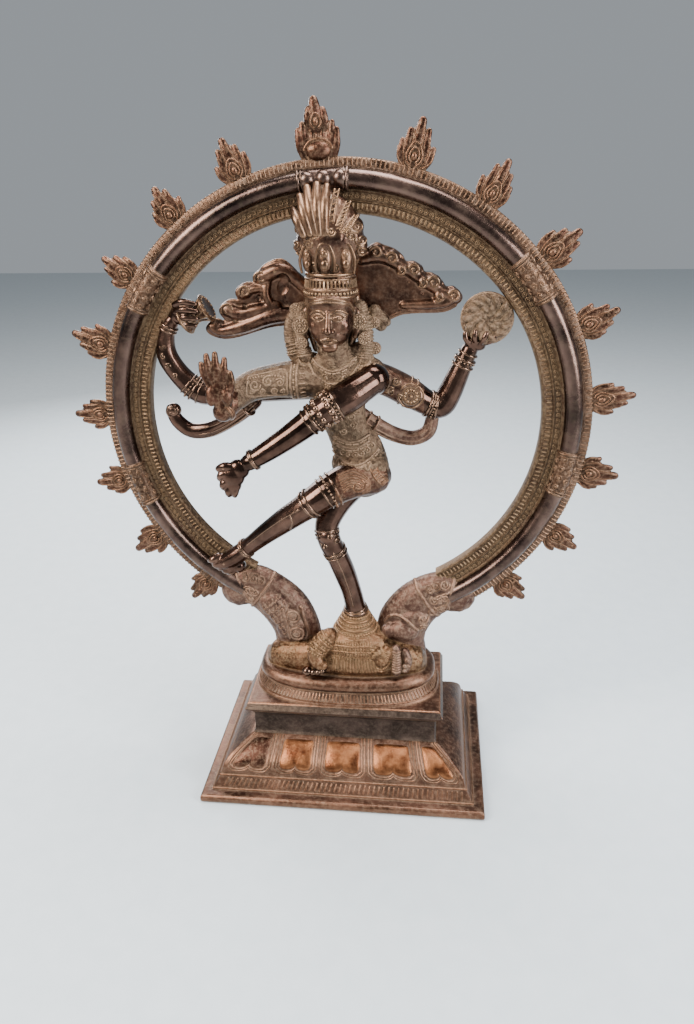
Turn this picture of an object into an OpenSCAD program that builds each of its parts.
// Cast brass nataraja: a dancer in a ring of flames on a stepped pedestal.
// Origin: centre of the pedestal's underside. +Z up, the dancer faces -Y, +X is the viewer's right.

/* [Pedestal] */
// Width of the plinth's slab
plinth_w = 110; // [104:1:118]
// Depth of the plinth's slab
plinth_d = 75; // [72:1:82]
// Height of the plinth, from the floor to the foot of the neck
plinth_h = 20.4; // [18:0.2:22]
// Thickness of the slab at the plinth's foot
slab_t = 3.6; // [2:0.2:5]
// Wall of the hollow pedestal
wall = 3.2; // [2:0.2:4]
// Height of the recessed neck
neck_h = 10.6; // [8:0.2:12]
// Thickness of the cap plate
cap_t = 4.5; // [3.5:0.5:6]
// Height of the oval seat
seat_h = 10; // [8:0.5:12]

/* [Ring of flames] */
// Outer radius of the ring's flange
ring_r = 88; // [87:0.5:89]
// Radius of the ring's inner edge
ring_inner_r = 70.5; // [69.5:0.5:71]
// Radius of the middle of the round moulding
moulding_r = 81.3; // [80.5:0.1:82]
// Half width of the round moulding
moulding_w = 3.2; // [2.6:0.2:3.4]
// Height of the ring's centre above the floor
ring_z = 147.4; // [147:0.2:148]
// Half of the ring's arc, measured from the top
ring_half_angle = 150.5; // [148:0.5:152]
// Thickness of the ring's plate
ring_t = 5; // [4:0.5:6]
// Height of the flames above the flange
flame_h = 14; // [10:1:16]
// Width of a flame
flame_w = 13; // [10:1:14]

/* [Fasteners] */
// Radius of the studs inside the pedestal
stud_r = 2; // [1.5:0.25:2.5]
// Width of the stud nuts across their corners
nut_w = 8; // [7:0.5:9]

/* [Hidden] */
flames_a_side = 8;

// Colours of the finish
dark_brown = [0.20, 0.12, 0.09];
warm_brown = [0.38, 0.23, 0.15];
copper_worn = [0.62, 0.36, 0.21];
dusty_ochre = [0.48, 0.40, 0.25];
plain_steel = [0.55, 0.55, 0.56];

// Pedestal levels and half sizes
neck_z = plinth_h;
cap_z = neck_z + neck_h;
seat_z = cap_z + cap_t;
seat_top = seat_z + seat_h;
neck_x = 35.7;
neck_y = 18.6;
cap_x = 38.8;
cap_y = 21.5;
cap_chamfer = 1.6;
seat_x = 37;
seat_y = 20.5;
seat_inset = 1.2;
band_h = 4;
step_top = 8.4;
ledge = 4.4;
step_lean = 2.6;
slope_bulge = 1.4;

// Places of the studs: the ring's two ends and the dwarf
ring_stud_x = [-19, 22];
ring_stud_y = 0;
figure_stud_at = [4, -4];
stud_gap = 0.1;
ring_stud_top = seat_top + 12;
figure_stud_top = seat_top + 8;
washer_t = 1;
washer_r = 4.5;
nut_t = 3.2;
stud_end = cap_z - washer_t - nut_t - 1;

// Ring details
plate_front = ring_t / 2;
flange_in = moulding_r + moulding_w;
clasp_r = 4.7;
clasp_arc = 11;
flame_top_angle = -3.5;
left_first = -21.7;
left_step = 17.1;
right_first = 16.4;
right_step = 17.25;
tiny = 0.01;

// Figure: paths are lists of [x, y, z, radius]
chest_path = [[7, -5, 123, 10.5], [6, -5, 130, 10.5], [3, -5, 139, 6.4], [4, -6, 150, 9],
    [2, -6, 158, 11.5], [0.5, -6, 165, 8], [-1, -6, 171, 5]];
head_path = [[-1.5, -9, 177.5, 5.2], [-1.8, -8.5, 182, 8], [-1.9, -8, 187, 9.4], [-2, -7, 193.5, 9.6]];
crown_path = [[-2, -6, 196.5, 9.8], [-2, -5, 204, 10.5], [-2.2, -5, 210, 11.2], [-2.8, -5, 217, 8],
    [-3.4, -6, 221, 3.2]];
strand_path = [[-14.5, -1, 181, 2.2], [-18.4, -1, 179, 2.4], [-18, -1, 173, 2.2], [-16, -3, 168, 2.4]];
front_right_path = [[-9, -7, 162, 6.6], [-20, -9, 163, 6.2], [-30.5, -13, 162, 5.4],
    [-35, -18, 158.5, 4.2], [-37.5, -21.5, 157, 4]];
front_right_palm = [[-37.5, -21.5, 157, 4], [-38, -23, 163, 5.2], [-38.3, -24, 169, 4.6],
    [-39, -24.5, 174, 2.6]];
rear_right_path = [[-6, -3, 160, 5], [-24, -1.5, 158, 4.4], [-50, -1, 156.5, 4.2],
    [-57.5, -1, 163, 4], [-63, -1, 173.5, 3.6], [-60.5, -1, 182, 3], [-56, -1, 186, 3.4]];
front_left_path = [[11.5, -9.5, 163.5, 5.4], [3, -15, 158.5, 5.6], [-8.6, -18, 152.5, 5.2],
    [-20, -20, 144, 4.4], [-29.5, -22, 137.5, 3.6], [-35.5, -23, 134, 4.6], [-37, -23, 130, 4],
    [-36, -23, 125.5, 2.4]];
rear_left_path = [[10, -3, 163.5, 5.4], [23.5, -2, 157.2, 5.4], [33, -0.5, 151.8, 4.7],
    [36.8, -0.5, 155, 4.4], [40.8, -0.5, 164, 3.8], [45, -0.5, 173, 3.2]];
sash_left_path = [[-33, -8, 152.5, 2.6], [-40, -6, 147.5, 2.7], [-48, -3.5, 142.5, 2.7],
    [-56.5, -2, 141, 2.7], [-62, -2, 145, 2.7], [-63.2, -2, 150, 2.2]];
sash_right_path = [[10, -3, 148, 3], [17, -1, 142.2, 2.9], [25, -0.5, 140, 2.7], [30.8, -0.5, 142, 2.6],
    [32.2, -0.5, 148, 2.2]];
raised_leg_path = [[10, -8, 128, 8.8], [2, -12, 127, 8], [-7, -16.5, 122.5, 6.8],
    [-19, -16.5, 113.5, 5.4], [-30, -13.5, 104.5, 4.2], [-36.5, -11.5, 98.5, 4.3],
    [-42, -10.5, 94, 4.4], [-48, -9.5, 91.5, 2.6]];
standing_leg_path = [[4, -6, 124, 8.4], [-1, -8, 116.5, 6.8], [-4.5, -11, 108, 5.6],
    [-2.5, -11.5, 101, 5], [0.5, -9, 90, 4.9], [3, -6.5, 79, 4.1], [4.2, -5, 70, 3.8]];
makara_left_path = [[-39.5, 0, 79, 8.6], [-31, 0, 73.5, 9], [-23, 0, 65.5, 9.6], [-19.5, 0, 57, 9.2],
    [-19, 0, 49, 8.6]];
makara_right_path = [[39, 0, 78.2, 8.6], [29, 0, 72, 9.6], [23, 0, 63.5, 10], [21.5, 0, 56, 9.4],
    [22, 0, 49, 8.8]];
dwarf_path = [[-9, -5.5, 50, 5.5], [-2, -5, 53, 7.6], [5, -5, 54, 8.4], [12, -5.5, 52, 7]];
dwarf_arm_path = [[-6, -8, 58.5, 3], [-10, -10.5, 55.5, 3.4], [-13, -12, 51.5, 3],
    [-16, -12.5, 48.4, 2.8]];
dwarf_foot_path = [[14, -9, 49, 2.4], [19, -10, 48.4, 2.6], [24, -9.5, 49.4, 2.9]];

anklet_at = [4.2, -4.5];
anklet_z = 60.5;
anklet_top = 70.5;
disc_at = [50.3, 183.2];
disc_r = 8.8;

// A point on a smooth curve through four others
function curve(a, b, c, d, t) =
    0.5 * (2 * b + (c - a) * t + (2 * a - 5 * b + 4 * c - d) * t * t
        + (3 * b - a - 3 * c + d) * t * t * t);

// A path with extra points between its own, so that it bends smoothly
function smooth(path, n) = let (last = len(path) - 1) concat(
    [for (i = [0:last - 1]) for (k = [0:n - 1])
        curve(path[max(i - 1, 0)], path[i], path[i + 1], path[min(i + 2, last)], k / n)],
    [path[last]]);

// Outline of an oval between an ellipse and a rectangle
function oval(a, b, power = 2.6, n = 72) = [for (i = [0:n - 1]) let (t = 360 * i / n)
    [a * sign(cos(t)) * pow(abs(cos(t)), 2 / power), b * sign(sin(t)) * pow(abs(sin(t)), 2 / power)]];

// A rounded limb along a path; flat squeezes it front to back
module limb(path, flat = 1, n = 3, sides = 12) {
    points = smooth(path, n);
    for (i = [0:len(points) - 2])
        hull() {
            bead(points[i], flat, sides);
            bead(points[i + 1], flat, sides);
        }
}

module bead(p, flat, sides) {
    translate([p.x, p.y, p.z]) scale([1, flat, 1]) sphere(r = p[3], $fn = sides);
}

// An upright plate with its outline in X and Z, its front face at y = front
module upright(front, t) {
    translate([0, front + t, 0]) rotate([90, 0, 0]) linear_extrude(t) children();
}

// Moves children from the top of the ring to an angle round it, measured clockwise
module on_ring(angle) {
    translate([0, 0, ring_z]) rotate([0, angle, 0]) children();
}

// Turns a section (radius, forward) round the ring from one angle to another
module ring_sweep(from, to) {
    on_ring(from) rotate([90, 0, 0]) rotate([0, 0, 90 - (to - from)])
        rotate_extrude(angle = to - from, $fn = 180) children();
}

/* ---- pedestal ---- */

// Half of the plinth's side view, from the floor up
function plinth_side(half, top_half) = [
    [half, 0], [half, slab_t], [half - ledge, slab_t], [half - ledge - step_lean, step_top],
    [half - ledge - step_lean - slope_bulge, step_top + 4.5],
    [(half - ledge + top_half) / 2 + slope_bulge - 2, (step_top + plinth_h) / 2 + 2],
    [top_half + 1, plinth_h]];

// Half of the hollow's side view
function hollow_side(half, top_half) = [[half - 11, -1], [top_half - wall, plinth_h - wall]];

// Half of the cap plate's side view, with a chamfer under its edge
function cap_side(half) = [[half - cap_chamfer, cap_z], [half, cap_z + cap_chamfer], [half, seat_z]];

// A bar along Y whose section is a half outline and its mirror image
module bar(length, half) {
    other_half = [for (i = [len(half) - 1:-1:0]) [-half[i].x, half[i].y]];
    rotate([90, 0, 0]) translate([0, 0, -length / 2]) linear_extrude(length)
        polygon(concat(half, other_half));
}

// The block that two such bars share, one along Y and one along X
module block(length_x, length_y, half_x, half_y) {
    intersection() {
        bar(length_y, half_x);
        rotate([0, 0, 90]) bar(length_x, half_y);
    }
}

module plinth() {
    color(warm_brown) difference() {
        block(plinth_w + 2, plinth_d + 2, plinth_side(plinth_w / 2, neck_x),
            plinth_side(plinth_d / 2, neck_y));
        block(plinth_w, plinth_d, hollow_side(plinth_w / 2, neck_x), hollow_side(plinth_d / 2, neck_y));
        translate([-neck_x + wall, -neck_y + wall, 0])
            cube([2 * (neck_x - wall), 2 * (neck_y - wall), plinth_h + 1]);
    }
}

module neck_block() {
    color(dark_brown) translate([0, 0, neck_z]) difference() {
        translate([-neck_x, -neck_y, 0]) cube([2 * neck_x, 2 * neck_y, neck_h]);
        translate([-neck_x + wall, -neck_y + wall, -1])
            cube([2 * (neck_x - wall), 2 * (neck_y - wall), neck_h + 2]);
    }
}

// The three stud holes, from one level to another
module stud_holes(from, to) {
    for (x = ring_stud_x)
        translate([x, ring_stud_y, from]) cylinder(r = stud_r + stud_gap, h = to - from, $fn = 32);
    translate([figure_stud_at.x, figure_stud_at.y, from])
        cylinder(r = stud_r + stud_gap, h = to - from, $fn = 32);
}

module cap_plate() {
    color(dark_brown) difference() {
        block(2 * cap_x + 2, 2 * cap_y + 2, cap_side(cap_x), cap_side(cap_y));
        stud_holes(cap_z - 1, seat_z + 1);
    }
}

module lotus_seat() {
    color(warm_brown) difference() {
        union() {
            translate([0, 0, seat_z]) linear_extrude(band_h) polygon(oval(seat_x, seat_y));
            translate([0, 0, seat_z + band_h - tiny]) linear_extrude(seat_h - band_h + tiny)
                polygon(oval(seat_x - seat_inset, seat_y - seat_inset));
        }
        stud_holes(seat_z - 1, seat_top + 1);
    }
}

/* ---- fasteners inside the pedestal ---- */

module ring_studs() {
    color(plain_steel) for (x = ring_stud_x)
        translate([x, ring_stud_y, stud_end]) cylinder(r = stud_r, h = ring_stud_top - stud_end, $fn = 32);
}

module figure_stud() {
    color(plain_steel) translate([figure_stud_at.x, figure_stud_at.y, stud_end])
        cylinder(r = stud_r, h = figure_stud_top - stud_end, $fn = 32);
}

// Repeats its children at the three studs
module at_studs() {
    for (x = ring_stud_x) translate([x, ring_stud_y, 0]) children();
    translate([figure_stud_at.x, figure_stud_at.y, 0]) children();
}

module stud_washers() {
    color(plain_steel) at_studs() translate([0, 0, cap_z - washer_t]) difference() {
        cylinder(r = washer_r, h = washer_t, $fn = 48);
        translate([0, 0, -1]) cylinder(r = stud_r + stud_gap, h = washer_t + 2, $fn = 32);
    }
}

module stud_nuts() {
    color(plain_steel) at_studs() translate([0, 0, cap_z - washer_t - nut_t]) difference() {
        cylinder(d = nut_w, h = nut_t, $fn = 6);
        translate([0, 0, -1]) cylinder(r = stud_r, h = nut_t + 2, $fn = 32);
    }
}

/* ---- ring ---- */

module ring_arch() {
    color(dark_brown) ring_sweep(-ring_half_angle, ring_half_angle) union() {
        translate([ring_inner_r, -plate_front]) square([flange_in - ring_inner_r, ring_t]);
        translate([flange_in - 1, -plate_front]) square([ring_r - flange_in + 1, ring_t - 1]);
        translate([moulding_r, plate_front]) circle(r = moulding_w, $fn = 48);
    }
}

// A collar that straps the round moulding at an angle
module clasp(angle, arc = clasp_arc) {
    color(dark_brown) ring_sweep(angle - arc / 2, angle + arc / 2)
        translate([moulding_r, plate_front]) difference() {
            circle(r = clasp_r, $fn = 48);
            circle(r = moulding_w, $fn = 48);
            translate([-clasp_r - 1, -2 * clasp_r]) square([2 * clasp_r + 2, 2 * clasp_r]);
        }
}

module ring_clasp_top() { clasp(-2.8); }
module ring_clasp_upper_left() { clasp(-55.5); }
module ring_clasp_upper_right() { clasp(53); }
module ring_clasp_lower_left() { clasp(-109); }
module ring_clasp_lower_right() { clasp(103.5); }

// A leaf-shaped flame on the flange at an angle, with an oval boss on its face
module flame(angle, height, width) {
    root = ring_r - 1.5;
    front = 1 - plate_front;
    thick = ring_t - 1;
    color(warm_brown) difference() {
        on_ring(angle) union() {
            upright(front, thick) polygon([[-width * 0.34, root], [-width * 0.42, root + height * 0.3],
                [-width * 0.5, root + height * 0.52], [-width * 0.34, root + height * 0.6],
                [-width * 0.32, root + height * 0.84], [-width * 0.16, root + height * 0.86],
                [0, root + height + 1.5], [width * 0.17, root + height * 0.86],
                [width * 0.32, root + height * 0.84], [width * 0.34, root + height * 0.6],
                [width * 0.5, root + height * 0.52], [width * 0.42, root + height * 0.3],
                [width * 0.34, root]]);
            translate([0, front, root + height * 0.34]) sphere(r = width * 0.14, $fn = 32);
        }
        translate([0, 20, ring_z]) rotate([90, 0, 0]) cylinder(r = ring_r, h = 40, $fn = 180);
    }
}

module flame_top() { flame(flame_top_angle, flame_h * 1.31, flame_w * 1.1); }

/* ---- makara ends ---- */

// The end of the ring turned down onto the seat, cut to the ring and the seat
module makara(path) {
    color(warm_brown) difference() {
        limb(path, 0.62, 3, 16);
        ring_arch();
        translate([-60, -30, 0]) cube([120, 60, seat_top]);
        stud_holes(seat_top - 1, ring_stud_top);
    }
}

module makara_left() { makara(makara_left_path); }
module makara_right() { makara(makara_right_path); }

/* ---- figure ---- */

module chest() { limb(chest_path, 0.62, 2, 20); }

module torso() {
    color(dusty_ochre) difference() {
        chest();
        pegs();
    }
}

// A round peg from one point to another
module rod(a, b, r) {
    v = b - a;
    translate(a) rotate([0, acos(v.z / norm(v)), atan2(v.y, v.x)]) cylinder(r = r, h = norm(v), $fn = 16);
}

// The pegs that locate the limbs and the head in the torso
peg_r = 1.6;
module peg_front_right() { rod([-14, -8, 162.5], [-2, -6.5, 161.5], peg_r); }
module peg_front_left() { rod([9, -11, 162.5], [4, -6, 160], peg_r); }
module peg_rear_right() { rod([-13, -2.5, 159], [-3, -3.5, 158], peg_r * 0.8); }
module peg_rear_left() { rod([17, -2.5, 160.5], [8, -4, 161], peg_r); }
module peg_raised() { rod([4, -12, 127.5], [9, -5, 128.5], peg_r); }
module peg_standing() { rod([0, -8, 117], [5, -5.5, 124], peg_r); }
module peg_head() { rod([-1.4, -7, 177], [-0.8, -6.2, 168], peg_r); }

module pegs() {
    peg_front_right();
    peg_front_left();
    peg_rear_right();
    peg_rear_left();
    peg_raised();
    peg_standing();
    peg_head();
}

module head() {
    color(warm_brown) {
        difference() {
            limb(head_path, 0.9, 3, 20);
            chest();
        }
        peg_head();
    }
}

// The ring's flat plate alone, which the crown and the flaming disc rest against
module ring_plate() {
    on_ring(0) rotate([90, 0, 0]) difference() {
        translate([0, 0, -plate_front]) cylinder(r = moulding_r, h = ring_t, $fn = 120);
        translate([0, 0, -ring_t]) cylinder(r = ring_inner_r, h = 2 * ring_t, $fn = 120);
    }
}

module crown() {
    color(dusty_ochre) difference() {
        limb(crown_path, 0.6, 2, 16);
        limb(head_path, 0.9, 3, 20);
        ring_plate();
    }
}

module jata_left() {
    color(warm_brown) difference() {
        upright(-0.5, 3) polygon([[-8, 193], [-13, 194.5], [-18, 200], [-26, 202.5], [-31.5, 199.5],
            [-32, 196], [-36.5, 194], [-37.5, 189.5], [-42.5, 188], [-41, 182.5], [-47.5, 179.5],
            [-44, 177.5], [-36, 177.5], [-24, 181], [-16, 180], [-8, 181]]);
        limb(head_path, 0.9, 3, 20);
        limb(crown_path, 0.6, 3, 16);
    }
}

module jata_right() {
    color(warm_brown) difference() {
        upright(-0.5, 3) polygon([[5, 203], [10, 208], [17, 206], [19, 203], [25, 202], [28, 198],
            [34, 196.5], [36, 192], [42, 190.5], [41, 187], [36, 185.5], [25, 186], [15.5, 181.5],
            [8, 181]]);
        limb(head_path, 0.9, 3, 20);
        limb(crown_path, 0.6, 3, 16);
    }
}

module hair_strand() {
    color(dusty_ochre) difference() {
        limb(strand_path, 0.8);
        jata_left();
        chest();
        limb(head_path, 0.9, 3, 20);
        front_right_arm();
    }
}

module ear_ornament() {
    color(warm_brown) difference() {
        limb([[9, -2, 181.5, 3], [13, -1.5, 179, 3], [10, -3, 174, 2.8], [11, -4, 169, 3]], 0.8);
        limb(head_path, 0.9, 3, 20);
        jata_right();
        chest();
        rear_left_arm();
        front_left_arm();
    }
}

module front_right_arm() {
    color(dusty_ochre) {
        difference() {
            union() {
                limb(front_right_path, 1);
                limb(front_right_palm, 0.45);
            }
            chest();
        }
        peg_front_right();
    }
}

module rear_right_arm() {
    color(dark_brown) {
        difference() {
            limb(rear_right_path, 0.8);
            chest();
            limb(front_right_path, 1);
        }
        peg_rear_right();
    }
}

module drum() {
    color(warm_brown) difference() {
        translate([-50, -1, 184.2]) rotate([0, 65, 0]) {
            cylinder(r1 = 2.6, r2 = 5, h = 5, $fn = 32);
            mirror([0, 0, 1]) cylinder(r1 = 2.6, r2 = 5, h = 5, $fn = 32);
        }
        limb(rear_right_path, 0.8);
    }
}

module front_left_arm() {
    color(dark_brown) {
        difference() {
            limb(front_left_path, 0.9);
            chest();
        }
        peg_front_left();
    }
}

module rear_left_arm() {
    color(dark_brown) {
        difference() {
            union() {
                limb(rear_left_path, 0.9);
                bead([47.5, -0.5, 176, 4.4], 0.6, 16);
            }
            chest();
            limb(front_left_path, 0.9);
            flame_disc();
            ring_arch();
        }
        peg_rear_left();
    }
}

module flame_disc() {
    color(dusty_ochre) difference() {
        upright(-2.6, 4.6) translate(disc_at) circle(r = disc_r, $fn = 64);
        ring_arch();
    }
}

module sash_left() {
    color(dark_brown) difference() {
        limb(sash_left_path, 0.8);
        limb(front_right_path, 1);
        limb(rear_right_path, 0.8);
    }
}

module sash_right() {
    color(dark_brown) difference() {
        limb(sash_right_path, 0.8);
        chest();
        limb(rear_left_path, 0.9);
    }
}

module raised_leg() {
    color(dark_brown) {
        difference() {
            limb(raised_leg_path, 0.85);
            chest();
            ring_arch();
        }
        peg_raised();
    }
}

module standing_leg() {
    color(dark_brown) {
        difference() {
            limb(standing_leg_path, 0.85);
            chest();
            limb(raised_leg_path, 0.85);
            translate([-20, -30, 0]) cube([50, 60, anklet_top]);
        }
        peg_standing();
        translate([anklet_at.x, anklet_at.y, anklet_top - 4]) cylinder(r = peg_r, h = 5, $fn = 16);
    }
}

// The ringed collar that the foot ends in: three steps, each wider than the one above
module anklet_collar() {
    color(dusty_ochre) difference() {
        translate([anklet_at.x, anklet_at.y, 0]) rotate_extrude($fn = 64) polygon([[0, anklet_z],
            [9.6, anklet_z], [9.2, 63], [7.6, 63.6], [7.2, 66], [5.8, 66.6], [5.4, 69],
            [4.6, anklet_top], [0, anklet_top]]);
        translate([anklet_at.x, anklet_at.y, anklet_top - 4]) cylinder(r = peg_r, h = 5, $fn = 16);
        limb(makara_right_path, 0.62, 3, 16);
        limb(makara_left_path, 0.62, 3, 16);
    }
}

/* ---- dwarf ---- */

// Cuts a dwarf's piece to the seat below, the collar above and the ring's ends
module between_seat_and_collar() {
    difference() {
        children();
        translate([-60, -30, 0]) cube([120, 60, seat_top]);
        translate([-10, -20, anklet_z]) cube([30, 30, 20]);
        limb(makara_right_path, 0.62, 3, 16);
        limb(makara_left_path, 0.62, 3, 16);
    }
}

module dwarf_body() {
    color(copper_worn) difference() {
        between_seat_and_collar() limb(dwarf_path, 0.95, 3, 16);
        stud_holes(seat_top - 1, figure_stud_top);
    }
}

module dwarf_head() {
    color(copper_worn) difference() {
        between_seat_and_collar() bead([14.5, -10.5, 52.5, 4.6], 1, 20);
        limb(dwarf_path, 0.95, 3, 16);
    }
}

module dwarf_arm() {
    color(copper_worn) difference() {
        between_seat_and_collar() limb(dwarf_arm_path);
        limb(dwarf_path, 0.95, 3, 16);
    }
}

module dwarf_foot() {
    color(warm_brown) difference() {
        between_seat_and_collar() limb(dwarf_foot_path);
        limb(dwarf_path, 0.95, 3, 16);
        bead([14.5, -10.5, 52.5, 4.6], 1, 20);
    }
}

plinth();
neck_block();
cap_plate();
lotus_seat();
ring_arch();
ring_clasp_top();
ring_clasp_upper_left();
ring_clasp_upper_right();
ring_clasp_lower_left();
ring_clasp_lower_right();
makara_left();
makara_right();
flame_top();
for (i = [1:flames_a_side]) {
    flame(left_first - left_step * (i - 1), flame_h, flame_w);
    flame(right_first + right_step * (i - 1), flame_h, flame_w);
}
torso();
head();
crown();
jata_left();
jata_right();
hair_strand();
ear_ornament();
front_right_arm();
rear_right_arm();
drum();
front_left_arm();
rear_left_arm();
flame_disc();
sash_left();
sash_right();
raised_leg();
standing_leg();
anklet_collar();
dwarf_body();
dwarf_head();
dwarf_arm();
dwarf_foot();
ring_studs();
figure_stud();
stud_washers();
stud_nuts();
